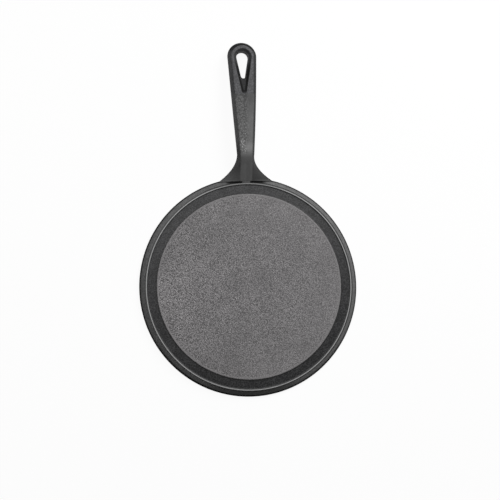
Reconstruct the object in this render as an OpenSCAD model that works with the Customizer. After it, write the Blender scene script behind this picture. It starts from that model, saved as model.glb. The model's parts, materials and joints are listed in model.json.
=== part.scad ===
// Comal: a flat round cast-iron griddle with a fine rim bead and one long handle.
// The real thing is one casting. It is modelled as its cast zones, each a
// solid of its own that meets its neighbours face to face.
// The origin is the centre of the foot's resting plane, the handle points along +Y.

/* [Plate] */
// Diameter of the flat cooking plate
plate_d = 226; // [180:0.2:300]
// Thickness of the cooking plate
plate_t = 5; // [4:0.1:7]
// Height of the cooking face above the table
plate_h = 10.8; // [9.6:0.1:14]

/* [Border] */
// Width of the smooth border around the plate
border_w = 11.1; // [9:0.1:15]
// Step from the plate down to the border
border_step = 0.5; // [0.2:0.1:0.8]
// Fall of the border from the plate to the bead
border_fall = 0.8; // [0.3:0.1:1.2]
// Lean of the inner wall of the foot under the border
foot_lean = 1.5; // [0.5:0.1:2.5]
// Distance that the flat foot stops short of the bead
foot_inset = 4; // [2:0.1:6]

/* [Rim] */
// Height of the rim bead above the border
bead_h = 1; // [0.8:0.1:2]
// Width of the rim bead
bead_w = 2.4; // [2:0.1:3.6]
// Radius of the bead's rounded top edges
bead_round = 0.5; // [0.3:0.1:0.7]
// Step from the bead down to the outer skirt
bead_step = 1; // [0.8:0.1:2]
// Width of the outer skirt
skirt_w = 7; // [5:0.1:9]
// Width of the groove between the bead and the skirt
groove_w = 1.5; // [1:0.1:2.2]
// Depth of the groove below the skirt
groove_depth = 0.9; // [0.4:0.1:1.4]
// Height of the skirt's widest edge above the table
edge_h = 3.2; // [2.8:0.1:4]
// Radius of the skirt's rounded edge
edge_round = 1.4; // [0.8:0.1:1.8]

/* [Handle] */
// Reach of the handle from the widest edge of the pan to its tip
handle_reach = 166.6; // [140:0.1:210]
// Width of the handle at its neck
neck_w = 21.3; // [18:0.1:26]
// Distance of the neck from the widest edge of the pan
neck_reach = 27; // [22:0.1:34]
// Swell of each side of the handle half way from the neck to the eye
side_swell = 0.4; // [0:0.1:1.5]
// Gap between the bead and the inner end of the handle's root
root_gap = 1.5; // [0.8:0.1:3]
// Extra width on each side where the root flares out to meet the pan
flare_w = 25.4; // [14:0.1:28]
// Power of the flare's curve, where 1 is a straight flare
flare_power = 1.9; // [1.2:0.05:2.4]
// Width of the raised strip that bridges from the root to the bead
strip_w = 12.9; // [9:0.1:15]
// Drop of the root's top face below the top of the bead, where it would reach it
root_drop = 0.2; // [0.1:0.1:0.6]
// Step from the root's top face down to the strip
strip_step = 0.3; // [0.2:0.1:0.6]
// Slope of the root's top face in degrees
root_slope = 22; // [18:0.5:26]
// Height of the handle's crown above the top of the bead
crown_rise = 13; // [10:0.1:16]
// Distance of the crown beyond the neck
crown_reach = 32; // [20:1:50]
// Drop of the top face from the crown to the centre of the eye
eye_droop = 5; // [0:0.1:7]
// Length over which the root's slope blends into the crown
crown_blend = 2; // [1:0.1:4]
// Depth of the sloped sides below the top face, from the neck on
side_depth = 8; // [7:0.1:11]
// Height of the root's side edges above the skirt's widest edge
root_lift = 2.5; // [2.2:0.1:3.5]
// How early the side edges fall from the neck to the root: 1 is an even fall
web_power = 3; // [1:0.1:4]
// Depth of the rounded belly below the sloped sides, from the neck on
belly_depth = 4.5; // [3:0.1:6]
// Width taken by the belly's rounding on each side
belly_round = 2.4; // [1.5:0.1:3]
// Width of the sloped side at the neck, seen from above
neck_shoulder = 3.2; // [2.4:0.1:4]
// Width of the sloped side at the eye, seen from above
eye_shoulder = 3.8; // [3:0.1:5]
// Reach of the rounding along the edges of the top face
top_round = 1.4; // [0.8:0.1:2]

/* [Hanging eye] */
// Width of the handle's round end
eye_d = 35.8; // [32:0.1:42]
// Diameter of the hanging hole's round end
hole_d = 14.9; // [12:0.1:18]
// Distance of the hole's round end behind the centre of the eye
hole_back = 1.8; // [0:0.1:3]
// Diameter of the hanging hole's narrow end
hole_tip_d = 6; // [4:0.1:8]
// Distance between the centres of the hole's two ends
hole_span = 23.7; // [18:0.1:30]
// Margin of the bevelled recess around the hole's round end
recess_margin = 3.1; // [1.5:0.1:4]
// Depth of the bevelled recess
recess_depth = 2.8; // [1.5:0.1:4]
// Length of the ramped channel beyond the hole's narrow end
channel_len = 19.6; // [14:0.1:26]
// Width of the channel where it runs out
channel_w = 4.8; // [3:0.1:6]

/* [Hidden] */
$fn = 96;

// Radii of the zones of the pan, from the middle outwards
plate_r = plate_d / 2;
border_r = plate_r + border_w;
bead_r = border_r + bead_w;
pan_r = bead_r + skirt_w;
foot_r = border_r - foot_inset;

// Heights of the border and of the bead's top
border_in_z = plate_h - border_step;
border_out_z = border_in_z - border_fall;
rim_h = border_out_z + bead_h;

// The skirt's outer band and underside are tangents to its rounded edge
edge_c = [pan_r - edge_round, edge_h];
skirt_top = [bead_r, rim_h - bead_step];
foot_edge = [foot_r, 0];
band_angle = heading(skirt_top, edge_c) + asin(edge_round / norm(edge_c - skirt_top));
under_angle = heading(foot_edge, edge_c) - asin(edge_round / norm(edge_c - foot_edge));

// Places along the handle
root_y = bead_r + root_gap;
neck_y = pan_r + neck_reach;
crown_y = neck_y + crown_reach;
tip_y = pan_r + handle_reach;
eye_r = eye_d / 2;
eye_y = tip_y - eye_r;
hole_y = eye_y - hole_back;
hole_tip_y = hole_y - hole_span;
channel_y = hole_tip_y - hole_tip_d / 2 - channel_len;
hole_r = hole_d / 2;
recess_slope = recess_margin / recess_depth;
full_depth = side_depth + belly_depth;

// Steps of the lofted handle
root_steps = 12;
shank_steps = 10;
eye_steps = 7;
round_steps = 24;
belly_steps = 4;
corner_steps = 3;

// Overlap that lets a cutter pass clean through
cut = 1;

function heading(from, to) = atan2(to[1] - from[1], to[0] - from[0]);

function mix(a, b, t) = a + (b - a) * t;

function share(y, from, to) = (y - from) / (to - from);

function polar(radius, angle) = radius * [cos(angle), sin(angle)];

// The lesser of two heights, blended where they cross
function smooth_min(a, b, blend) =
    let (t = max(0, min(1, 0.5 + (b - a) / (2 * blend))))
    mix(b, a, t) - blend * t * (1 - t);

// Height of the underside where it rises from the foot to the edge
function under_z(r) = (r - foot_r) * tan(under_angle);

// Height of the handle's top face
function ramp_z(y) = rim_h - root_drop + (y - bead_r) * tan(root_slope);
function crown_z(y) = rim_h + crown_rise - eye_droop * pow(share(y, crown_y, eye_y), 2);
function top_z(y) = smooth_min(ramp_z(y), crown_z(y), crown_blend);

// Half width of the handle, and of its top face, seen from above
function flare(y) = flare_w * pow(to_root(y), flare_power);
function swell(y) = side_swell * sin(180 * max(0, min(1, share(y, neck_y, eye_y))));
function half_w(y) = mix(neck_w / 2, eye_r, share(y, neck_y, eye_y)) + swell(y) + flare(y);
function shoulder(y) = mix(neck_shoulder, eye_shoulder, share(y, neck_y, eye_y));
function half_top(y) = y > neck_y
    ? half_w(y) - shoulder(y)
    : mix(neck_w / 2 - neck_shoulder, strip_w / 2, to_root(y));

// Height of the handle's side edges, and its depths below the top face
function to_root(y) = max(0, share(y, neck_y, root_y));
function side_fall(y) = 1 - pow(1 - to_root(y), web_power);
function side_z(y) = mix(top_z(y) - side_depth, edge_h + root_lift, side_fall(y));
function depth(y) = top_z(y) - side_z(y);
function belly(y) = mix(belly_depth, root_lift, to_root(y));

// Right half of a section as [x, drop below the top face], belly first
function half_section(y) =
    concat(belly_arc(half_w(y), depth(y), belly(y)), corner_arc(half_w(y), half_top(y), depth(y)));

function belly_arc(half, depth, belly) =
    [for (i = [0 : belly_steps])
        let (a = 90 * i / belly_steps)
        [half - belly_round * (1 - sin(a)), depth + belly * cos(a)]];

function corner_arc(half, top, depth) =
    let (side = [half - top, depth],
         below = top_round * side / norm(side))
    [for (i = [0 : corner_steps])
        let (t = i / corner_steps)
        [top, 0] + below * pow(1 - t, 2) - [top_round, 0] * pow(t, 2)];

function mirrored(half) = [for (i = [len(half) - 1 : -1 : 0]) [-half[i][0], half[i][1], half[i][2]]];

// A closed loop across the handle at one place along it
function straight_loop(y) =
    let (half = [for (p = half_section(y)) [p[0], y, top_z(y) - p[1]]])
    concat(half, mirrored(half));

// A closed loop around the round end, swung by an angle about the eye's centre
function swung_loop(angle) =
    let (half = [for (p = half_section(eye_y))
                    let (y = eye_y + p[0] * sin(angle))
                    [p[0] * cos(angle), y, top_z(y) - p[1]]])
    concat(half, mirrored(half));

function straight_loops(from, to, steps) =
    [for (i = [0 : steps]) straight_loop(mix(from, to, i / steps))];

// A solid through a row of closed loops that all hold the same number of points
module loft(loops) {
    n = len(loops[0]);
    last = (len(loops) - 1) * n;
    sides = [for (i = [0 : len(loops) - 2], j = [0 : n - 1])
                let (a = i * n + j, b = i * n + (j + 1) % n)
                each [[a, b, a + n], [b, b + n, a + n]]];
    start = [for (j = [0 : n / 2 - 2]) each [[j, n - 2 - j, j + 1], [j, n - 1 - j, n - 2 - j]]];
    end = [for (face = start) [last + face[2], last + face[1], last + face[0]]];
    polyhedron([for (loop = loops) each loop], concat(sides, start, end));
}

// Half profile of the bead, with a rounded top
module bead_profile() {
    round_z = rim_h - bead_round;
    polygon([[border_r, under_z(border_r)], [bead_r, under_z(bead_r)],
             [bead_r, round_z], [border_r, round_z]]);
    translate([border_r + bead_round, round_z]) square([bead_w - 2 * bead_round, bead_round]);
    for (r = [border_r + bead_round, bead_r - bead_round])
        translate([r, round_z]) circle(r = bead_round);
}

// Half profile of the skirt, with a groove beside the bead and a rounded edge
module skirt_profile() {
    fall = [1, tan(band_angle)];
    polygon([[bead_r, under_z(bead_r)], edge_c + polar(edge_round, under_angle - 90), edge_c,
             edge_c + polar(edge_round, band_angle + 90), skirt_top + groove_w * fall,
             skirt_top + groove_w / 2 * fall - [0, groove_depth], skirt_top - [0, groove_depth]]);
    translate(edge_c) circle(r = edge_round);
}

// Outline of the hanging hole: two circles and their common tangents
module hole_outline() {
    lean = asin((hole_r - hole_tip_d / 2) / hole_span);
    wide = polar(hole_r, -lean);
    narrow = polar(hole_tip_d / 2, -lean) - [0, hole_span];
    circle(r = hole_r);
    translate([0, -hole_span]) circle(d = hole_tip_d);
    polygon([wide, narrow, [-narrow[0], narrow[1]], [-wide[0], wide[1]]]);
}

module cooking_plate() {
    color("#6f6f70") translate([0, 0, plate_h - plate_t]) cylinder(h = plate_t, r = plate_r);
}

// The border stands on a flat foot and carries the plate at its inner face
module smooth_border() {
    color("#3d3d3e") rotate_extrude()
        polygon([[plate_r + foot_lean, 0], [foot_r, 0], [border_r, under_z(border_r)],
                 [border_r, border_out_z], [plate_r, border_in_z], [plate_r, plate_h - plate_t]]);
}

module rim_bead() {
    color("#777777") rotate_extrude() bead_profile();
}

module outer_skirt() {
    color("#4e4e4f") rotate_extrude() skirt_profile();
}

// The strip and the flared web sit on the skirt and butt against the bead
module handle_root() {
    inner_y = bead_r - bead_w / 2;
    outer_y = root_y + top_round;
    color("#575757") difference() {
        union() {
            loft(straight_loops(root_y, neck_y, root_steps));
            rotate([90, 0, 90])
                linear_extrude(height = strip_w - 2 * top_round, center = true)
                    polygon([[inner_y, edge_h + edge_round], [outer_y, edge_h + edge_round],
                             [outer_y, ramp_z(outer_y) - strip_step],
                             [inner_y, ramp_z(inner_y) - strip_step]]);
        }
        rotate_extrude() {
            skirt_profile();
            translate([border_r, under_z(bead_r)]) square([bead_w, rim_h]);
        }
    }
}

module handle_shank() {
    color("#666666") loft(straight_loops(neck_y, channel_y, shank_steps));
}

// The eye's hole goes right through, its recess only dents the top face
module hanging_eye() {
    swing = 180 / round_steps;
    color("#646464") difference() {
        loft(concat(straight_loops(channel_y, eye_y, eye_steps),
                    [for (angle = [swing / 2 : swing : 90]) swung_loop(angle)]));
        translate([0, hole_y, top_z(eye_y) - full_depth - cut])
            linear_extrude(height = full_depth + eye_droop + 2 * cut) hole_outline();
        hull() {
            translate([0, hole_y, top_z(hole_y) - recess_depth])
                cylinder(h = recess_depth + cut, r1 = hole_r,
                         r2 = hole_r + (recess_depth + cut) * recess_slope, $fn = 32);
            translate([0, channel_y + channel_w / 2, top_z(channel_y)])
                cylinder(h = cut, d = channel_w, $fn = 32);
        }
    }
}

cooking_plate();
smooth_border();
rim_bead();
outer_skirt();
handle_root();
handle_shank();
hanging_eye();
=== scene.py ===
import json
import math
from collections import namedtuple

import bmesh
import bpy
from mathutils import Matrix, Vector, noise


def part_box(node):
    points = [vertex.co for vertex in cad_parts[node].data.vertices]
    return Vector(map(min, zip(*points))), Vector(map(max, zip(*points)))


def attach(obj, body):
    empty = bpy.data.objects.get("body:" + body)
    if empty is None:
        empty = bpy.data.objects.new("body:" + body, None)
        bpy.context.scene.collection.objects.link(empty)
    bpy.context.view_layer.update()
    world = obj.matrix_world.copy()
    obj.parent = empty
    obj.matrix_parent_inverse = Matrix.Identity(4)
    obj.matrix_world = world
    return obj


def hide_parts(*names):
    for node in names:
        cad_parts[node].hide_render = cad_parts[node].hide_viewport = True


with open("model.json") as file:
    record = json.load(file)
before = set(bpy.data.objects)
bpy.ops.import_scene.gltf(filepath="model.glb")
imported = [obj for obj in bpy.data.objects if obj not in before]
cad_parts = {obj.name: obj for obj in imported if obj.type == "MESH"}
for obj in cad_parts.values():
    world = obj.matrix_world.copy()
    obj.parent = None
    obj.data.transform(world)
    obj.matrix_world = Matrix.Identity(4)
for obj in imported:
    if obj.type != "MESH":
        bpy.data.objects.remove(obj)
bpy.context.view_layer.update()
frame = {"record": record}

mm = 0.001

# Sizes read from the frame: the rings of the pan, from the middle outwards
plate_low, plate_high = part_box("cooking_plate")
border_low, border_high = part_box("smooth_border")
_, bead_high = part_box("rim_bead")
_, skirt_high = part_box("outer_skirt")
plate_r = max(plate_high.x, plate_high.y)
border_r = max(border_high.x, border_high.y)
bead_r = max(bead_high.x, bead_high.y)
pan_r = max(skirt_high.x, skirt_high.y)
plate_top = plate_high.z
plate_under = plate_low.z
border_top = border_high.z
rim_top = bead_high.z
foot_z = border_low.z

# Sizes read from the frame: the places along the handle
shank_low, shank_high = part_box("handle_shank")
_, eye_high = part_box("hanging_eye")
mounts = {mount["name"]: mount for mount in frame["record"]["mounts"]}
neck_y = shank_low.y
channel_y = shank_high.y
eye_r = eye_high.x
eye_y = eye_high.y - eye_r
hole_y = mounts["hanging_hole"]["pos_m"][1]

# Shape of the pan's rings
border_fall = 0.8 * mm
foot_lean = 1.5 * mm
foot_inset = 4 * mm
foot_r = border_r - foot_inset
border_end = border_top - border_fall
skirt_top = rim_top - 1 * mm
edge_round = 1.4 * mm
edge_z = 3.2 * mm
groove_w = 1.5 * mm
groove_depth = 0.5 * mm

# Shape of the handle
root_y = bead_r + 1.5 * mm
neck_half = 10.65 * mm
side_swell = 0.4 * mm
flare_w = 25.4 * mm
flare_power = 1.9
root_slope = math.tan(math.radians(22))
root_drop = 0.2 * mm
root_lift = 2.5 * mm
web_power = 3
strip_half = 6.45 * mm
strip_step = 0.3 * mm
crown_rise = 13 * mm
crown_y = neck_y + 32 * mm
crown_blend = 2 * mm
eye_droop = 5 * mm
side_depth = 8 * mm
belly_depth = 4.5 * mm
belly_round = 2.4 * mm
neck_shoulder = 3.2 * mm
eye_shoulder = 3.8 * mm
top_round = 1.4 * mm
face_crown = 0.3 * mm
root_lip = 0.9 * mm

# Shape of the hanging hole, its recess and its channel
hole_r = 7.45 * mm
hole_tip_r = 3 * mm
hole_tip_y = hole_y - 23.7 * mm
recess_r = hole_r + 3.1 * mm
recess_tip_r = 2.4 * mm
recess_tip_y = channel_y + recess_tip_r
recess_depth = 2.8 * mm
recess_ease = 2 * mm
hole_round = 0.5 * mm
hole_ease = 0.6 * mm

# Waves of the sand casting: their lengths and heights
broad_wave, broad_height = 38 * mm, 0.07 * mm
close_wave, close_height = 11 * mm, 0.02 * mm

# Wear and darkening of the pan with its painted shade and painted highlights, as shares of a full mark,
# and where they lie
patch_x, patch_y = -0.68 * plate_r, -0.2 * plate_r
patch_reach = 0.9 * plate_r
plate_soot = 0.24
middle_smooth, edge_smooth = 0.1, 0.26
# The bead's wear and painted highlight are weaker by the handle.
covered_wear_and_glint = 0.55
# Painted shade in the skirt's groove, strongest towards this side.
groove_shade_side = math.radians(30)
# Painted shade on the skirt's front, away from the handle.
front_shade = 0.58
# A painted shadow of the handle's root on the skirt to its left.
beside_shadow = 0.15
beside_near, beside_far = 45 * mm, 75 * mm
# Painted shade on the skirt's outer edge, on the side away from the handle.
edge_shade_w = 2 * mm
# Painted shade in the pocket before the handle's root.
pocket_near, pocket_far = 20 * mm, 28 * mm
pocket_w = 1.8 * mm

# Painted shade, painted highlights, darkening and wear of the handle
# Painted shade on the handle's rounded shoulders and root flares.
shoulder_dark = 0.85
root_dark = 0.79
strip_dark = 0.36
strip_dark_start, strip_dark_full = neck_y + 2 * mm, neck_y - 5 * mm
# Painted shade under the belly.
belly_dark = 0.4
# A faint painted highlight along the root's inner edge.
lip_glint = 0.35
lip_reach = 1.5 * root_lip
# Painted shade along the outline.
outline_w = 1.5 * mm
root_outline_w = 4 * mm
# A painted highlight on the neck's crest.
crest_glint = 0.85
crest_y = neck_y + 8 * mm
crest_reach = 10 * mm
# Darker towards the eye.
far_dark = 0.47
far_reach = 40 * mm
neck_smooth = 2.5 * mm
side_smooth = 0.6
rubbed_smooth = 0.8
# The left side: weaker wear and painted highlight, and lighter painted shade save at the neck.
left_wear_and_glint = 0.5
left_shade, left_root_shade, left_neck_shade = 0.6, 0.75, 0.9
left_neck_reach = 25 * mm
# Painted glints on the pebble tops left of the neck, which are also rubbed bright.
neck_polish_and_glint = 2.2
polish_glint_near, polish_glint_far = 12 * mm, 30 * mm
# Painted shade in the eye's hole, recess and channel.
channel_end_shade = 0.4
round_end_shade = 0.6
round_end_reach = 16 * mm

# Steps of the meshes
face_steps, corner_steps, side_steps, belly_steps = 7, 4, 6, 6
lip_steps, web_steps, strip_steps, shank_steps = 6, 40, 8, 60
arc_steps, line_steps, tip_steps = 72, 44, 24
edge_steps = 6

# The wear mark of corners, points and finishes is partly real wear and partly painted highlight on the
# bead's crown, the lips and the neck's crest; the dark mark is mostly painted shade.
Corner = namedtuple("Corner", "r z radius worn dark reach", defaults=(0, 0, 0, 1.2 * mm))
Mark = namedtuple("Mark", "worn dark smooth polished", defaults=(0, 0, 0, 0))


def mix(a, b, t):
    return a + (b - a) * t


def share(value, start, end):
    return (value - start) / (end - start)


def clamp(value):
    return max(0.0, min(1.0, value))


def fade(t):
    """Smooth step from 0 to 1."""
    t = clamp(t)
    return t * t * (3 - 2 * t)


def cast_wave(point):
    """Slow waviness of a sand casting, in metres."""
    broad = noise.noise(Vector(point) / broad_wave)
    close = noise.noise(Vector(point) / close_wave)
    return broad_height * broad + close_height * close


# Meshes

def make_piece(name, node, slot, points, faces, marks, material):
    """A smooth piece that stands for one CAD node and keeps its marks of wear and painted light on its
    points.
    """
    shape = bpy.data.meshes.new(name)
    shape.from_pydata([(x, y, z + cast_wave((x, y, 0))) for x, y, z in points], [], faces)
    for label in Mark._fields:
        layer = shape.attributes.new(label, "FLOAT", "POINT")
        layer.data.foreach_set("value", [getattr(mark, label) for mark in marks])
    outward = bmesh.new()
    outward.from_mesh(shape)
    bmesh.ops.recalc_face_normals(outward, faces=outward.faces)
    outward.to_mesh(shape)
    outward.free()
    shape.shade_smooth()
    shape.set_sharp_from_angle(angle=math.radians(40))
    shape.materials.append(material)
    piece = bpy.data.objects.new(name, shape)
    bpy.context.scene.collection.objects.link(piece)
    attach(piece, "root")
    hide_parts(node)


def soft_corner(before, corner, after, steps=5):
    """Points of a rounded corner, which takes up less than half of the sides beside it."""
    most = 0.48
    middle = Vector((corner.r, corner.z))
    back = Vector((before.r, before.z)) - middle
    ahead = Vector((after.r, after.z)) - middle
    if corner.radius == 0:
        return [middle]
    start = middle + back.normalized() * min(corner.radius, back.length * most)
    end = middle + ahead.normalized() * min(corner.radius, ahead.length * most)
    row = []
    for i in range(steps + 1):
        t = i / steps
        row.append(start * (1 - t) ** 2 + middle * 2 * t * (1 - t) + end * t ** 2)
    return row


def profile_path(corners, closed, spacing):
    """Points along a profile with rounded corners and evenly divided flats."""
    count = len(corners)
    path = []
    for i, corner in enumerate(corners):
        if closed or 0 < i < count - 1:
            arc = soft_corner(corners[i - 1], corner, corners[(i + 1) % count])
        else:
            arc = [Vector((corner.r, corner.z))]
        if path:
            path += divided(path[-1], arc[0], spacing)
        path += arc
    if closed:
        path += divided(path[-1], path[0], spacing)
    return path


def divided(start, end, spacing):
    """Points strictly between two ends."""
    steps = max(1, math.ceil((end - start).length / spacing))
    return [start.lerp(end, i / steps) for i in range(1, steps)]


def profile_marks(path, corners):
    """Marks of wear and painted light of each point of a profile: full close to a marked corner, then
    fading over its reach.
    """
    full = 0.3
    marks = []
    for point in path:
        near = [(corner, clamp(1 + full - (point - Vector((corner.r, corner.z))).length / corner.reach))
                for corner in corners]
        marks.append(Mark(max(corner.worn * amount for corner, amount in near),
                          max(corner.dark * amount for corner, amount in near)))
    return marks


def turned(corners, closed, segments=288, spacing=1.6 * mm):
    """Points, faces and marks of a profile turned about the pan's axis."""
    path = profile_path(corners, closed, spacing)
    path_marks = profile_marks(path, corners)
    points, faces, marks, rings = [], [], [], []
    for at, mark in zip(path, path_marks):
        count = 1 if at.x == 0 else segments
        rings.append(range(len(points), len(points) + count))
        for j in range(count):
            angle = 2 * math.pi * j / segments
            points.append((at.x * math.cos(angle), at.x * math.sin(angle), at.y))
            marks.append(mark)
    pairs = list(zip(rings, rings[1:]))
    if closed:
        pairs.append((rings[-1], rings[0]))
    for inner, outer in pairs:
        faces += ring_faces(inner, outer, segments)
    return points, faces, marks


def ring_faces(inner, outer, segments):
    """Faces between two rings, where a ring of one point is a centre."""
    faces = []
    for j in range(segments):
        k = (j + 1) % segments
        face = [inner[j % len(inner)], outer[j % len(outer)],
                outer[k % len(outer)], inner[k % len(inner)]]
        faces.append(list(dict.fromkeys(face)))
    return faces


def lofted(loops, capped=True):
    """Points, faces and marks through closed loops of (point, mark)."""
    size = len(loops[0])
    points = [point for loop in loops for point, mark in loop]
    marks = [mark for loop in loops for point, mark in loop]
    faces = []
    for i in range(len(loops) - 1):
        for j in range(size):
            k = (j + 1) % size
            faces.append((i * size + j, i * size + k, (i + 1) * size + k, (i + 1) * size + j))
    if capped:
        faces.append(tuple(range(size)))
        faces.append(tuple(range((len(loops) - 1) * size, len(loops) * size)))
    else:
        last = (len(loops) - 1) * size
        for j in range(size):
            k = (j + 1) % size
            faces.append((last + j, last + k, k, j))
    return points, faces, marks


def joined(*shapes):
    """One set of points, faces and marks from several."""
    points, faces, marks = [], [], []
    for some_points, some_faces, some_marks in shapes:
        start = len(points)
        points += some_points
        faces += [[start + index for index in face] for face in some_faces]
        marks += some_marks
    return points, faces, marks


# The pan

def plate_shape():
    """The flat disc, with a low smooth lip around its edge."""
    lip, lip_soft = 2.6 * mm, 0.8 * mm
    rise = 0.15 * mm
    points, faces, marks = turned([
        Corner(0, plate_top),
        Corner(plate_r - lip, plate_top, lip_soft),
        # The lip's crest carries a painted highlight, and its outer edge painted shade where it falls
        # into the crease.
        Corner(plate_r - 0.55 * lip, plate_top + rise, lip_soft, worn=0.9, reach=1.2 * mm),
        Corner(plate_r, plate_top - rise, 0.9 * mm, dark=0.5, reach=0.8 * mm),
        Corner(plate_r, plate_under, 0.3 * mm),
        Corner(0, plate_under),
    ], closed=False)
    marks = [plate_skin(mark, x, y) for mark, (x, y, z) in zip(marks, points)]
    return points, faces, marks


def plate_skin(mark, x, y):
    """A mark on the plate: cleanest in a patch at the left, rubbed smoother on the right."""
    darkening = plate_soot * fade(math.hypot(x - patch_x, y - patch_y) / patch_reach)
    right = fade(share(x, -0.8 * plate_r, 0.1 * plate_r))
    near_edge = fade(share(math.hypot(x, y), 0.5 * plate_r, 0.9 * plate_r))
    smooth = right * mix(middle_smooth, edge_smooth, near_edge)
    return mark._replace(dark=max(mark.dark, darkening), smooth=smooth)


def border_shape():
    """The smooth band that stands on the foot ring, with a soft crease beside the plate."""
    crease = 0.7 * mm
    crease_soft = 0.4 * mm
    foot_soft = 0.6 * mm
    return turned([
        # Painted shade in the crease beside the plate.
        Corner(plate_r, border_top + 0.25 * mm, dark=0.6),
        Corner(plate_r + crease, border_top, crease_soft),
        Corner(border_r - crease, border_end, crease_soft),
        Corner(border_r, border_end + 0.2 * mm),
        Corner(border_r, under_z(border_r)),
        Corner(foot_r, foot_z, foot_soft, worn=0.5),
        Corner(plate_r + foot_lean, foot_z, foot_soft, worn=0.5),
        Corner(plate_r, plate_under, 0.8 * mm),
    ], closed=True)


def bead_shape():
    """The fine ridge of the rim, with wear and a painted highlight along its top."""
    soft = 1.1 * mm
    side_wear_and_glint, side_reach = 0.08, 0.6 * mm
    crown_r, crown_reach = 0.5 * (border_r + bead_r), 0.42 * mm
    points, faces, marks = turned([
        Corner(border_r, under_z(border_r)),
        Corner(border_r, rim_top, soft, worn=side_wear_and_glint, reach=side_reach),
        # The crown carries a painted highlight, besides its wear.
        Corner(crown_r, rim_top, 0.2 * mm, worn=1, reach=crown_reach),
        Corner(bead_r, rim_top, soft, worn=side_wear_and_glint, reach=side_reach),
        Corner(bead_r, under_z(bead_r)),
    ], closed=True, spacing=0.4 * mm)
    marks = [mark._replace(worn=mark.worn * bead_wear_and_glint(y)) for mark, (x, y, z) in zip(marks, points)]
    return points, faces, marks


def bead_wear_and_glint(y):
    """Wear and painted highlight of the bead, which are less where the handle covers it."""
    return mix(1, covered_wear_and_glint, fade(share(y, 0.9 * bead_r, 0.985 * bead_r)))


def skirt_shape():
    """The falling outer band, with a groove beside the bead and a rounded edge."""
    tilt = band_angle()
    drop = math.tan(tilt)
    side = Vector((math.sin(tilt), math.cos(tilt)))
    under = under_angle()
    foot = Vector((math.sin(under), -math.cos(under)))
    edge = Vector((pan_r - edge_round, edge_z))
    out_point = edge + side * edge_round
    low_point = edge + foot * edge_round
    floor_w = 0.45 * groove_w
    floor_z = skirt_top - groove_depth
    groove_soft = 0.5 * mm
    # Painted shade in the groove beside the bead.
    groove_shade, groove_reach = 0.8, 0.7 * mm
    shoulder = bead_r + groove_w
    corners = [
        Corner(bead_r, floor_z, dark=groove_shade, reach=groove_reach),
        Corner(bead_r + floor_w, floor_z - drop * floor_w, groove_soft,
               dark=groove_shade, reach=groove_reach),
        # A painted highlight along the groove's outer shoulder.
        Corner(shoulder, skirt_top - drop * groove_w, groove_soft, worn=0.2),
        # Painted shade on the rounded edge, which turns away from the lamps.
        Corner(out_point.x, out_point.y, dark=1, reach=1.8 * mm),
    ]
    corners += [edge_corner(edge, tilt, under, i / edge_steps) for i in range(1, edge_steps)]
    corners += [
        Corner(low_point.x, low_point.y, dark=1),
        Corner(bead_r, under_z(bead_r)),
    ]
    points, faces, marks = turned(corners, closed=True, spacing=0.6 * mm)
    marks = [mark._replace(dark=skirt_shade(mark.dark, x, y, shoulder))
             for mark, (x, y, z) in zip(marks, points)]
    return points, faces, marks


def skirt_shade(dark, x, y, shoulder):
    """Painted shade on the skirt: in the groove at the right, a painted shadow beside the handle, and on
    the front and the edge away from the handle.
    """
    r, angle = math.hypot(x, y), math.atan2(y, x)
    away = -math.sin(angle)
    near_handle = fade(share(abs(x), beside_far, beside_near)) if y > 0 else 0
    # A painted shadow of the handle's root on the skirt to its left.
    beside = beside_shadow * near_handle if x < 0 else 0
    # The groove's painted shade stays at the right and by the handle.
    if r < shoulder:
        dark *= max(near_handle, fade(0.5 + 0.5 * math.cos(angle - groove_shade_side)))
    # Painted shade on the front of the skirt, away from the handle.
    front = front_shade * fade(share(away, 0.85, 1))
    rim = pan_r - edge_round
    # Painted shade on the outer edge away from the handle.
    edge = fade(share(away, 0.2, 0.7)) * fade(share(r, rim - edge_shade_w, rim))
    return max(dark, front, edge, beside, pocket(x, y))


def pocket(x, y):
    """Painted shade in the narrow pocket between the bead and the inner end of the handle's root."""
    across = fade(share(abs(x), pocket_far, pocket_near))
    return across * fade(share(y, root_y - 2 * pocket_w, root_y - pocket_w))


def edge_corner(edge, tilt, under, t):
    """A point of the skirt's rounded edge, which carries painted shade."""
    angle = mix(math.pi / 2 - tilt, under - math.pi / 2, t)
    return Corner(edge.x + edge_round * math.cos(angle), edge.y + edge_round * math.sin(angle),
                  dark=1)


def band_angle():
    """How steeply the skirt falls from the bead to its rounded edge."""
    run = pan_r - edge_round - bead_r
    fall = skirt_top - edge_z
    return math.atan2(fall, run) - math.asin(edge_round / math.hypot(run, fall))


def under_angle():
    """How steeply the underside rises from the foot to the skirt's edge."""
    run = pan_r - edge_round - foot_r
    rise = edge_z - foot_z
    return math.atan2(rise, run) - math.asin(edge_round / math.hypot(run, rise))


def under_z(r):
    return foot_z + (r - foot_r) * math.tan(under_angle())


# The handle

def ramp_z(y):
    return rim_top - root_drop + (y - bead_r) * root_slope


def crown_z(y):
    return rim_top + crown_rise - eye_droop * share(y, crown_y, eye_y) ** 2


def top_z(y):
    """Height of the handle's top face: the root's ramp blended into the long crown."""
    ramp, crown = ramp_z(y), crown_z(y)
    t = clamp(0.5 + (crown - ramp) / (2 * crown_blend))
    return mix(crown, ramp, t) - crown_blend * t * (1 - t)


def to_root(y):
    return max(0.0, share(y, neck_y, root_y))


def half_w(y):
    """Half width of the handle, which flares out where it meets the pan."""
    along = share(y, neck_y, eye_y)
    swell = side_swell * math.sin(math.pi * clamp(along))
    return mix(neck_half, eye_r, along) + swell + flare_w * to_root(y) ** flare_power


def shoulder_w(y):
    return mix(neck_shoulder, eye_shoulder, share(y, neck_y, eye_y))


def half_top(y):
    """Half width of the handle's top face."""
    if y > neck_y:
        return half_w(y) - shoulder_w(y)
    return mix(neck_half - neck_shoulder, strip_half, to_root(y))


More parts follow.
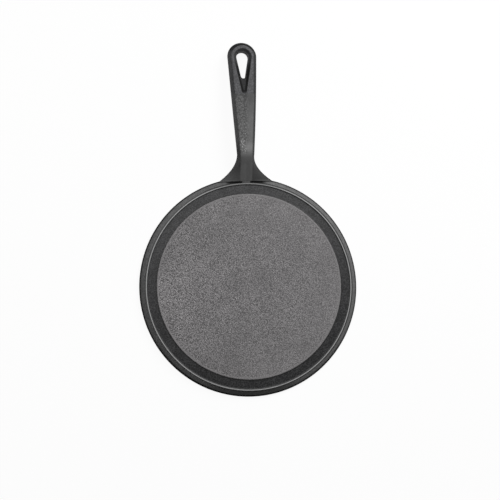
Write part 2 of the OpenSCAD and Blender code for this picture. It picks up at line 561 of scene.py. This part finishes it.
def depth(y):
    """Depth of the handle's side edges, which fall early from the neck to the skirt."""
    fallen = 1 - (1 - to_root(y)) ** web_power
    return top_z(y) - mix(top_z(y) - side_depth, edge_z + root_lift, fallen)


def belly(y):
    """Depth of the rounded belly below the sides."""
    return mix(belly_depth, root_lift, to_root(y))


def lip_drop(y):
    """How far the top face rounds off at the root's inner end."""
    into = clamp(1 - (y - root_y) / root_lip)
    return root_lip * (1 - math.sqrt(1 - into * into))


def half_section(y, half, flat, deep):
    """Half a section, from the middle of the top to the middle of the belly: (x, drop, mark)."""
    inner = flat - top_round
    side = Vector((half - flat, deep))
    below = side.normalized() * min(top_round, side.length * 0.4)
    # Painted shade on the shoulders and root flares.
    shoulder = mix(shoulder_dark, root_dark, clamp(4 * to_root(y)))
    row = []
    skin = face_mark(y)
    for i in range(face_steps):
        x = inner * i / face_steps
        row.append((x, face_crown * (x / flat) ** 2, skin))
    face_end = face_crown * (inner / flat) ** 2
    for i in range(corner_steps + 1):
        t = i / corner_steps
        at = (Vector((inner, face_end)) * (1 - t) ** 2 + Vector((flat, face_crown)) * 2 * t * (1 - t)
              + (Vector((flat, 0)) + below) * t ** 2)
        row.append((at.x, at.y, skin._replace(dark=max(skin.dark, shoulder * t))))
    for i in range(1, side_steps):
        at = (Vector((flat, 0)) + below).lerp(Vector((half, deep)), 1 - (1 - i / side_steps) ** 2)
        # Painted shade, darkest along the outline.
        rim_dark = fade(1 - (half - at.x) / mix(outline_w, root_outline_w, to_root(y)))
        row.append((at.x, at.y, Mark(0, max(shoulder, rim_dark) * lip_shade(y), side_smooth)))
    for i in range(belly_steps + 1):
        angle = 0.5 * math.pi * i / belly_steps
        x = half - belly_round * (1 - math.cos(angle))
        # Painted shade under the belly.
        dark = mix(1, belly_dark, fade(i / belly_steps))
        row.append((x, deep + belly(y) * math.sin(angle), Mark(0, dark)))
    row.append((0, deep + belly(y), Mark(0, belly_dark)))
    return row


def lip_shade(y):
    """Painted shade on the root's sides, lighter along the root's inner edge as a faint painted
    highlight.
    """
    return 1 - lip_glint * fade(1 - abs(y - root_y - lip_reach) / lip_reach)


def face_mark(y):
    """Top face: painted highlights on the root's lip and the neck's crest, smooth at the neck, dark at
    both ends.
    """
    lip = clamp(1 - (y - root_y) / root_lip)
    crest = crest_glint * fade(1 - abs(y - crest_y) / crest_reach)
    far = far_dark * fade(share(y, channel_y - far_reach, channel_y))
    low = strip_dark * fade(share(y, strip_dark_start, strip_dark_full))
    return Mark(max(lip, crest), max(far, low * (1 - lip)), fade(1 - (y - neck_y) / neck_smooth))


def section_loop(y):
    """A closed loop of (point, mark) across the handle."""
    half = half_section(y, half_w(y), half_top(y), depth(y))
    top = top_z(y) - lip_drop(y)
    right = [((x, y, top - drop), rubbed(mark, x / half_top(y))) for x, drop, mark in half]
    left = [((-x, y, top - drop), polished(shaded(mark, y), y, x / half_top(y)))
            for x, drop, mark in half[1:-1]]
    return right + left[::-1]


def rubbed(mark, across):
    """A mark on the right side, where the pebbled skin is rubbed smooth."""
    return mark._replace(smooth=max(mark.smooth, rubbed_smooth * fade(share(across, 0, 0.5))))


def shaded(mark, y):
    """A mark on the left side, with less wear and painted highlight and lighter painted shade, save at
    the neck.
    """
    near_neck = fade(1 - abs(y - neck_y) / left_neck_reach)
    if y > neck_y:
        darkening = mix(left_shade, left_neck_shade, near_neck)
        return mark._replace(worn=left_wear_and_glint * mark.worn, dark=mark.dark * darkening)
    return mark._replace(dark=mark.dark * mix(left_root_shade, left_neck_shade, near_neck))


def polished(mark, y, across):
    """A mark on the left of the top face, where the pebble tops near the neck are rubbed bright and
    carry painted glints.
    """
    near_neck = fade(share(y, neck_y + polish_glint_far, neck_y + polish_glint_near))
    return mark._replace(polished=neck_polish_and_glint * near_neck * fade(share(across, 1, 0.8)))


def section_loops(start, end, steps):
    return [section_loop(mix(start, end, i / steps)) for i in range(steps + 1)]


def strip_loop(y):
    """A closed loop across the strip that bridges from the root to the bead."""
    top = ramp_z(y) - strip_step
    half = strip_half - top_round
    low = edge_z + edge_round
    soft = 0.9 * mm
    right = [(0, 0), (0.5 * half, 0.02 * mm), (half - soft, 0.05 * mm), (half - 0.3 * soft, 0.35 * soft),
             (half, soft), (half, top - low), (0, top - low)]
    skin = Mark(dark=0.2, smooth=1)
    loop = [((x, y, top - drop), skin) for x, drop in right]
    return loop + [((-x, y, top - drop), skin) for x, drop in right[1:-1]][::-1]


def root_shape():
    """The flared web on the skirt, with its strip to the bead."""
    lip = [section_loop(root_y + root_lip * i / lip_steps) for i in range(lip_steps)]
    web = lofted(lip + section_loops(root_y + root_lip, neck_y, web_steps))
    inner = bead_r - 0.4 * (bead_r - border_r)
    outer = root_y + 2 * root_lip
    strip = lofted([strip_loop(mix(inner, outer, i / strip_steps)) for i in range(strip_steps + 1)])
    return joined(web, strip)


def shank_shape():
    return lofted(section_loops(neck_y, channel_y, shank_steps))


def teardrop(big_r, small_r, small_y):
    """Outline around two circles, from the right tangent over the top and down to the narrow end."""
    lean = math.asin((big_r - small_r) / (hole_y - small_y))
    big, small = Vector((0, hole_y)), Vector((0, small_y))
    arc = [big + at_angle(big_r, mix(-lean, math.pi + lean, i / arc_steps)) for i in range(arc_steps)]
    tip = [small + at_angle(small_r, mix(math.pi + lean, 2 * math.pi - lean, i / tip_steps))
           for i in range(tip_steps)]
    left_end = big + at_angle(big_r, math.pi + lean)
    right_end = small + at_angle(small_r, -lean)
    left = [left_end.lerp(tip[0], i / line_steps) for i in range(line_steps)]
    right = [right_end.lerp(arc[0], i / line_steps) for i in range(line_steps)]
    return arc + left + tip + right


def at_angle(radius, angle):
    return Vector((radius * math.cos(angle), radius * math.sin(angle)))


def handle_outline(inset):
    """Outline of the handle's end at an inset from its widest edge, closed by a straight cut."""
    radius = eye_r - inset(eye_y)
    end = half_w(channel_y) - inset(channel_y)
    arc = [Vector((0, eye_y)) + at_angle(radius, math.pi * i / arc_steps) for i in range(arc_steps)]
    left = [side_point(-1, mix(eye_y, channel_y, i / line_steps), inset) for i in range(line_steps)]
    cut = [Vector((mix(-end, end, i / tip_steps), channel_y)) for i in range(tip_steps)]
    right = [side_point(1, mix(channel_y, eye_y, i / line_steps), inset) for i in range(line_steps)]
    return arc + left + cut + right


def side_point(side, y, inset):
    return Vector((side * (half_w(y) - inset(y)), y))


def between(start, end, t):
    return [a.lerp(b, t) for a, b in zip(start, end)]


def face_z(at):
    """Height of the top face with its slight crown."""
    return top_z(at.y) - face_crown * min(1.0, (at.x / half_top(at.y)) ** 2)


def recess_floor(at):
    """Depth of the recess, which runs out along the channel."""
    return recess_depth * fade(share(at.y, recess_tip_y - recess_ease, hole_tip_y + recess_ease))


def eye_row(outline, drop, dark):
    """A closed row of (point, mark) at a drop below the top face."""
    return [((at.x, at.y, face_z(at) - drop(at)), Mark(0, dark * recess_shade(at.y))) for at in outline]


def recess_shade(y):
    """Painted shade in the recess: most in the channel, less at its end and around the hole's round end.
    """
    channel = fade(share(y, recess_tip_y - 1.2 * recess_tip_r, recess_tip_y + 1 * mm))
    round_end = fade(share(y, hole_y - round_end_reach, hole_y))
    return mix(channel_end_shade, 1, channel) * mix(1, round_end_shade, round_end)


def eye_rows(start, end, steps, drop, dark, first=1):
    """Rows from one outline to another, where drop takes a point and its share of the way."""
    return [eye_row(between(start, end, i / steps), lambda at, t=i / steps: drop(at, t), dark)
            for i in range(first, steps + 1)]


def soft_hole():
    """The hole's outline at its rounded lower edge."""
    return teardrop(hole_r + hole_round, hole_tip_r + hole_round, hole_tip_y)


def eye_shape():
    """The round end: hole, recess, land, sides and belly as one closed run of rows."""
    full = side_depth + belly_depth
    lip, ease = 0.4 * mm, 0.3 * mm
    rim_w = 1 * mm
    hole = teardrop(hole_r, hole_tip_r, hole_tip_y)
    floor_end = teardrop(hole_r + lip, 0.7 * mm, recess_tip_y + 3 * mm)
    rim = teardrop(recess_r, recess_tip_r, recess_tip_y)
    rim_soft = teardrop(recess_r + rim_w, recess_tip_r + rim_w, recess_tip_y)
    land_end = handle_outline(lambda y: shoulder_w(y) + top_round)
    # The hole's wall, the recess and its rim carry painted shade.
    rows = eye_rows(soft_hole(), hole, 3, lambda at, t: full - hole_ease * t, 1, first=0)
    rows += eye_rows(hole, hole, 4, lambda at, t: mix(full - hole_ease, recess_floor(at) + lip, t), 1)
    rows += eye_rows(hole, floor_end, 8, lambda at, t: recess_floor(at), 0.75)
    rows += eye_rows(floor_end, rim, 5, lambda at, t: mix(recess_floor(at), ease, t), 1)
    rows.append(eye_row(between(rim, rim_soft, 0.4), lambda at: 0.1 * mm, 0.9))
    rows.append(eye_row(between(rim, rim_soft, 0.7), lambda at: 0.03 * mm, 0.5))
    rows += eye_rows(rim_soft, land_end, 9, lambda at, t: 0, 0, first=0)
    return lofted(rows + outer_rows(full), capped=False)


def outer_rows(full):
    """Rows of the eye from the rounded edge of its top face around to the middle of its belly."""
    count = len(half_section(eye_y, eye_r, eye_r - eye_shoulder, side_depth))
    rows = [section_row(i) for i in range(face_steps + 1, count - 1)]
    under = handle_outline(lambda y: belly_round)
    # Painted shade under the eye's belly.
    return rows + eye_rows(under, soft_hole(), 6, lambda at, t: full, belly_dark)[:-1]


def section_row(i):
    """A row around the eye through one point of the handle's section."""
    def inset(y):
        return half_w(y) - half_section(y, half_w(y), half_top(y), side_depth)[i][0]

    x, drop, mark = half_section(eye_y, eye_r, eye_r - eye_shoulder, side_depth)[i]
    outline = handle_outline(inset)
    return [((at.x, at.y, top_z(at.y) - drop), end_mark(mark, at)) for at in outline]


def end_mark(mark, at):
    """A mark on the eye's shoulder: painted shade as on the shank, but full around the tip."""
    side = mark.dark if at.x > 0 else shaded(mark, at.y).dark
    return mark._replace(dark=mix(side, 1, fade(share(at.y, eye_y, eye_y + 0.7 * eye_r))))


# Materials

# Places of the colour sockets on a Mix node
MIX_A, MIX_B, MIX_OUT = 6, 7, 2


def add_node(tree, kind, **settings):
    node = tree.nodes.new(kind)
    for key, value in settings.items():
        setattr(node, key, value)
    return node


def set_inputs(node, **values):
    """Sets sockets by name, with _ for a space, or links them where the value is a socket."""
    tree = node.id_data
    for key, value in values.items():
        socket = node.inputs[key.replace("_", " ")]
        if isinstance(value, bpy.types.NodeSocket):
            tree.links.new(value, socket)
        else:
            socket.default_value = value
    return node


def new_group(name, inputs, outputs):
    """An empty shader node group with float inputs and outputs."""
    group = bpy.data.node_groups.new(name, "ShaderNodeTree")
    for label, value in inputs.items():
        socket = group.interface.new_socket(label, in_out="INPUT", socket_type="NodeSocketFloat")
        socket.default_value = value
    for label in outputs:
        group.interface.new_socket(label, in_out="OUTPUT", socket_type="NodeSocketFloat")
    return group, add_node(group, "NodeGroupInput"), add_node(group, "NodeGroupOutput")


def scaled_place(tree, size):
    """Object coordinates counted in steps of a size in millimetres."""
    place = add_node(tree, "ShaderNodeTexCoord").outputs["Object"]
    steps = add_node(tree, "ShaderNodeMath", operation="DIVIDE")
    steps.inputs[0].default_value = 1 / mm
    tree.links.new(size, steps.inputs[1])
    grown = add_node(tree, "ShaderNodeVectorMath", operation="SCALE")
    return set_inputs(grown, Vector=place, Scale=steps.outputs[0]).outputs["Vector"]


def ranged(tree, value, low, high, to_low=0.0, to_high=1.0):
    """A value stretched from one range to another, with smooth ends."""
    node = add_node(tree, "ShaderNodeMapRange", interpolation_type="SMOOTHSTEP")
    set_inputs(node, Value=value, From_Min=low, From_Max=high, To_Min=to_low, To_Max=to_high)
    return node.outputs["Result"]


def combined(tree, operation, a, b):
    """One arithmetic step on sockets or numbers."""
    node = add_node(tree, "ShaderNodeMath", operation=operation)
    for socket, value in zip(node.inputs, (a, b)):
        if isinstance(value, bpy.types.NodeSocket):
            tree.links.new(value, socket)
        else:
            socket.default_value = value
    return node.outputs[0]


def pebble_group():
    """Rounded pebbles of an as-cast skin: their height, crests and the hollows between them."""
    lump_share = 0.45
    results = ["Height", "Hollows", "Crests"]
    group, given, result = new_group("as_cast_pebbles", {"Pebble Size": 2.2}, results)
    place = scaled_place(group, given.outputs["Pebble Size"])
    lumps = add_node(group, "ShaderNodeTexVoronoi", feature="SMOOTH_F1")
    set_inputs(lumps, Vector=place, Scale=0.85, Smoothness=0.7, Randomness=1.0)
    grit = add_node(group, "ShaderNodeTexNoise")
    set_inputs(grit, Vector=place, Scale=1.1, Detail=3.0, Roughness=0.6)
    lump = ranged(group, lumps.outputs["Distance"], 0.1, 0.8, 1.0, 0.0)
    total = combined(group, "ADD", combined(group, "MULTIPLY", lump, lump_share), grit.outputs["Fac"])
    group.links.new(total, result.inputs["Height"])
    group.links.new(ranged(group, total, 0.85, 0.5), result.inputs["Hollows"])
    group.links.new(ranged(group, total, 0.85, 1.1), result.inputs["Crests"])
    return group


def mottle_group():
    """Uneven tone of seasoned iron, in blotches and finer specks."""
    group, given, result = new_group("seasoning_mottle", {"Blotch Size": 14}, ["Tone", "Specks"])
    place = scaled_place(group, given.outputs["Blotch Size"])
    blotch = add_node(group, "ShaderNodeTexNoise")
    set_inputs(blotch, Vector=place, Scale=1.0, Detail=4.0, Roughness=0.6)
    speck = add_node(group, "ShaderNodeTexNoise")
    set_inputs(speck, Vector=place, Scale=6.0, Detail=2.0, Roughness=0.5)
    group.links.new(ranged(group, blotch.outputs["Fac"], 0.3, 0.7), result.inputs["Tone"])
    group.links.new(ranged(group, speck.outputs["Fac"], 0.58, 0.72), result.inputs["Specks"])
    return group


def wear_and_painted_light_group():
    """Wear and painted highlights, painted shade in creases, recesses and on sides turned from the
    lamps, smooth places and painted glints on rubbed pebbles, read from the piece's points.
    """
    labels = [label.capitalize() for label in Mark._fields]
    group, given, result = new_group("edge_marks", {"Break Up": 0.4}, labels)
    place = add_node(group, "ShaderNodeTexCoord").outputs["Object"]
    broken = add_node(group, "ShaderNodeTexNoise")
    set_inputs(broken, Vector=place, Scale=260.0, Detail=3.0, Roughness=0.6)
    lost = combined(group, "MULTIPLY", broken.outputs["Fac"], given.outputs["Break Up"])
    for label in labels:
        mark = add_node(group, "ShaderNodeAttribute", attribute_name=label.lower()).outputs["Fac"]
        if label == "Worn":
            mark = combined(group, "SUBTRACT", mark, combined(group, "MULTIPLY", lost, mark))
        group.links.new(mark, result.inputs[label])
    return group


def placed_group(tree, group, **values):
    node = add_node(tree, "ShaderNodeGroup", node_tree=group)
    return set_inputs(node, **values)


def blended(tree, mask, under, over):
    """Colour that goes from under to over as the mask rises."""
    node = add_node(tree, "ShaderNodeMix", data_type="RGBA")
    tree.links.new(mask, node.inputs[0])
    for socket, colour in ((node.inputs[MIX_A], under), (node.inputs[MIX_B], over)):
        if isinstance(colour, bpy.types.NodeSocket):
            tree.links.new(colour, socket)
        else:
            socket.default_value = (*colour, 1)
    return node.outputs[MIX_OUT]


pebbles = pebble_group()
mottle = mottle_group()
edge_marks = wear_and_painted_light_group()

# Pale grey painted on rubbed pebble tops as glints.
POLISH_AND_GLINT_GREY = (0.4, 0.4, 0.4)

Finish = namedtuple("Finish", "deep body pale crest dark worn pebble depth blotch"
                    " rough_low rough_high specular")


def iron_finish(name, finish):
    """Seasoned cast iron: mottled tone, pebbled skin with pale tops that are partly painted glints, worn
    edges with painted highlights, and painted shade in creases and on sides turned from the lamps.
    """
    material = bpy.data.materials.new(name)
    material.use_nodes = True
    tree = material.node_tree
    shader = tree.nodes["Principled BSDF"]
    skin = placed_group(tree, pebbles, Pebble_Size=finish.pebble)
    tone = placed_group(tree, mottle, Blotch_Size=finish.blotch)
    marks = placed_group(tree, edge_marks, Break_Up=0.3)
    pebbled = combined(tree, "SUBTRACT", 1.0, marks.outputs["Smooth"])
    height = combined(tree, "MULTIPLY", skin.outputs["Height"], pebbled)
    hollows = combined(tree, "MULTIPLY", skin.outputs["Hollows"], pebbled)
    crests = combined(tree, "MULTIPLY", skin.outputs["Crests"], pebbled)
    polish_and_glint_crests = combined(tree, "MULTIPLY", crests, marks.outputs["Polished"])
    colour = blended(tree, tone.outputs["Tone"], finish.body, finish.pale)
    colour = blended(tree, hollows, colour, finish.deep)
    # Pale pebble tops: partly wear, partly painted glints.
    colour = blended(tree, crests, colour, finish.crest)
    # Wear and painted highlights.
    colour = blended(tree, marks.outputs["Worn"], colour, finish.worn)
    # Painted glints on the pebble tops near the neck.
    colour = blended(tree, polish_and_glint_crests, colour, POLISH_AND_GLINT_GREY)
    # Painted shade and darkening from the dark mark.
    colour = blended(tree, marks.outputs["Dark"], colour, finish.dark)
    rough = ranged(tree, tone.outputs["Specks"], 0, 1, finish.rough_high, finish.rough_low)
    rough = combined(tree, "MAXIMUM", rough, marks.outputs["Dark"])
    bump = add_node(tree, "ShaderNodeBump")
    set_inputs(bump, Height=height, Distance=finish.depth, Strength=1.0)
    set_inputs(shader, Base_Color=colour, Roughness=rough, Normal=bump.outputs["Normal"])
    shader.inputs["Specular IOR Level"].default_value = finish.specular
    return material


NEUTRAL = (1, 1, 1)
WARM = (1.04, 1, 1.018)
COOL = (1, 1, 1.045)


def grey(level, tint=NEUTRAL):
    return tuple(level * part for part in tint)


def pebbled_iron():
    return iron_finish("pebbled_iron", Finish(
        deep=grey(0.058, WARM), body=grey(0.183, WARM), pale=grey(0.241, WARM), crest=grey(0.53, WARM),
        dark=grey(0.05), worn=grey(0.2, WARM), pebble=0.9, depth=0.3 * mm, blotch=40,
        rough_low=0.5, rough_high=0.62, specular=0.3))


def smooth_iron():
    return iron_finish("smooth_iron", Finish(
        deep=grey(0.009, COOL), body=grey(0.021, COOL), pale=grey(0.038, COOL), crest=grey(0.054),
        dark=grey(0.01), worn=grey(0.08), pebble=1.25, depth=0.06 * mm, blotch=12,
        rough_low=0.4, rough_high=0.5, specular=0.3))


def bead_iron():
    return iron_finish("bead_iron", Finish(
        deep=grey(0.034), body=grey(0.04), pale=grey(0.052), crest=grey(0.052),
        dark=grey(0.02), worn=grey(0.44), pebble=1.4, depth=0.03 * mm, blotch=7,
        rough_low=0.4, rough_high=0.5, specular=0.3))


def skirt_iron():
    return iron_finish("skirt_iron", Finish(
        deep=grey(0.083), body=grey(0.102), pale=grey(0.127), crest=grey(0.123),
        dark=grey(0.008), worn=grey(0.15), pebble=1.5, depth=0.05 * mm, blotch=8,
        rough_low=0.45, rough_high=0.55, specular=0.1))


def root_iron():
    return iron_finish("root_iron", Finish(
        deep=grey(0.095), body=grey(0.105), pale=grey(0.122), crest=grey(0.12),
        dark=grey(0.012), worn=grey(0.17), pebble=1.6, depth=0.05 * mm, blotch=8,
        rough_low=0.45, rough_high=0.55, specular=0.15))


def handle_iron():
    return iron_finish("handle_iron", Finish(
        deep=grey(0.06), body=grey(0.105), pale=grey(0.122), crest=grey(0.18),
        dark=grey(0.012), worn=grey(0.18), pebble=1.6, depth=0.3 * mm, blotch=10,
        rough_low=0.45, rough_high=0.58, specular=0.15))


def eye_iron():
    return iron_finish("eye_iron", Finish(
        deep=grey(0.056, COOL), body=grey(0.072, COOL), pale=grey(0.1, COOL), crest=grey(0.11, COOL),
        dark=grey(0.01), worn=grey(0.14), pebble=1.6, depth=0.12 * mm, blotch=6,
        rough_low=0.42, rough_high=0.52, specular=0.1))


# The stage

def paper_material():
    """Pale paper that shows white to the camera and in reflections, and keeps a faint shadow."""
    glow_share = 0.93
    material = bpy.data.materials.new("paper_sweep")
    material.use_nodes = True
    tree = material.node_tree
    tree.nodes.clear()
    place = add_node(tree, "ShaderNodeTexCoord").outputs["Object"]
    fibre = add_node(tree, "ShaderNodeTexNoise")
    set_inputs(fibre, Vector=place, Scale=300.0, Detail=2.0)
    paper = add_node(tree, "ShaderNodeBsdfDiffuse")
    set_inputs(paper, Color=blended(tree, fibre.outputs["Fac"], grey(0.78), grey(0.82)))
    glow = add_node(tree, "ShaderNodeEmission")
    rays = add_node(tree, "ShaderNodeLightPath")
    seen = combined(tree, "MAXIMUM", rays.outputs["Is Camera Ray"], rays.outputs["Is Glossy Ray"])
    seen = combined(tree, "MAXIMUM", seen, rays.outputs["Is Transmission Ray"])
    both = add_node(tree, "ShaderNodeMixShader")
    tree.links.new(combined(tree, "MULTIPLY", seen, glow_share), both.inputs[0])
    tree.links.new(paper.outputs[0], both.inputs[1])
    tree.links.new(glow.outputs[0], both.inputs[2])
    tree.links.new(both.outputs[0], add_node(tree, "ShaderNodeOutputMaterial").inputs["Surface"])
    return material


def paper_sweep():
    """A wide floor that curves up into a low wall all around."""
    flat, wall, rise = 2.6, 5.2, 2.2
    below = 0.1 * mm
    steps = 16
    path = [Corner(0, -below), Corner(flat, -below)]
    for i in range(1, steps + 1):
        t = i / steps
        path.append(Corner(mix(flat, wall, t), rise * t * t - below))
    points, faces, marks = turned(path, closed=False, segments=96, spacing=1)
    shape = bpy.data.meshes.new("paper_sweep")
    shape.from_pydata(points, [], faces)
    shape.shade_smooth()
    shape.materials.append(paper_material())
    sweep = bpy.data.objects.new("paper_sweep", shape)
    bpy.context.scene.collection.objects.link(sweep)


def softbox(name, azimuth, off_vertical, distance, width, power):
    """A square studio light that points at the middle of the comal."""
    light = bpy.data.lights.new(name, "AREA")
    light.shape = "SQUARE"
    light.size = width
    light.energy = power
    lamp = bpy.data.objects.new(name, light)
    aim = Vector((0, 60 * mm, 0))
    turn, tilt = math.radians(azimuth), math.radians(off_vertical)
    way = Vector((math.sin(tilt) * math.cos(turn), math.sin(tilt) * math.sin(turn), math.cos(tilt)))
    lamp.location = aim + way * distance
    lamp.rotation_euler = way.to_track_quat("Z", "Y").to_euler()
    bpy.context.scene.collection.objects.link(lamp)


def studio_light():
    softbox("key_softbox", azimuth=45, off_vertical=50, distance=1.8, width=0.8, power=32)
    softbox("fill_softbox", azimuth=130, off_vertical=25, distance=1.8, width=0.8, power=15.5)
    world = bpy.data.worlds.new("studio")
    world.use_nodes = True
    set_inputs(world.node_tree.nodes["Background"], Color=(1, 1, 1, 1), Strength=0.02)
    bpy.context.scene.world = world


def photo_camera():
    """The photograph's view: almost straight down, a little from the left."""
    left, down, roll = (math.radians(angle) for angle in (7.83, 3.79, -2.01))
    distance = 1.4379
    aim = Vector((2.08, 44.27, 8)) * mm
    back = Vector((-math.tan(left), -math.tan(down), 1)).normalized()
    level = Vector((0, 1, 0)).cross(back).normalized()
    upright = back.cross(level)
    right = level * math.cos(roll) + upright * math.sin(roll)
    up = upright * math.cos(roll) - level * math.sin(roll)
    lens = bpy.data.cameras.new("photo_camera")
    lens.lens = 85
    lens.sensor_width = 36
    camera = bpy.data.objects.new("photo_camera", lens)
    turn = Matrix((right, up, back)).transposed().to_4x4()
    camera.matrix_world = Matrix.Translation(aim + back * distance) @ turn
    bpy.context.scene.collection.objects.link(camera)
    bpy.context.scene.camera = camera


make_piece("plate", "cooking_plate", "pebbled_iron", *plate_shape(), pebbled_iron())
make_piece("border", "smooth_border", "smooth_iron", *border_shape(), smooth_iron())
make_piece("bead", "rim_bead", "bead_iron", *bead_shape(), bead_iron())
make_piece("skirt", "outer_skirt", "skirt_iron", *skirt_shape(), skirt_iron())
make_piece("root", "handle_root", "root_iron", *root_shape(), root_iron())
make_piece("shank", "handle_shank", "handle_iron", *shank_shape(), handle_iron())
make_piece("eye", "hanging_eye", "eye_iron", *eye_shape(), eye_iron())
paper_sweep()
studio_light()
photo_camera()
bpy.context.scene.view_settings.view_transform = "Standard"
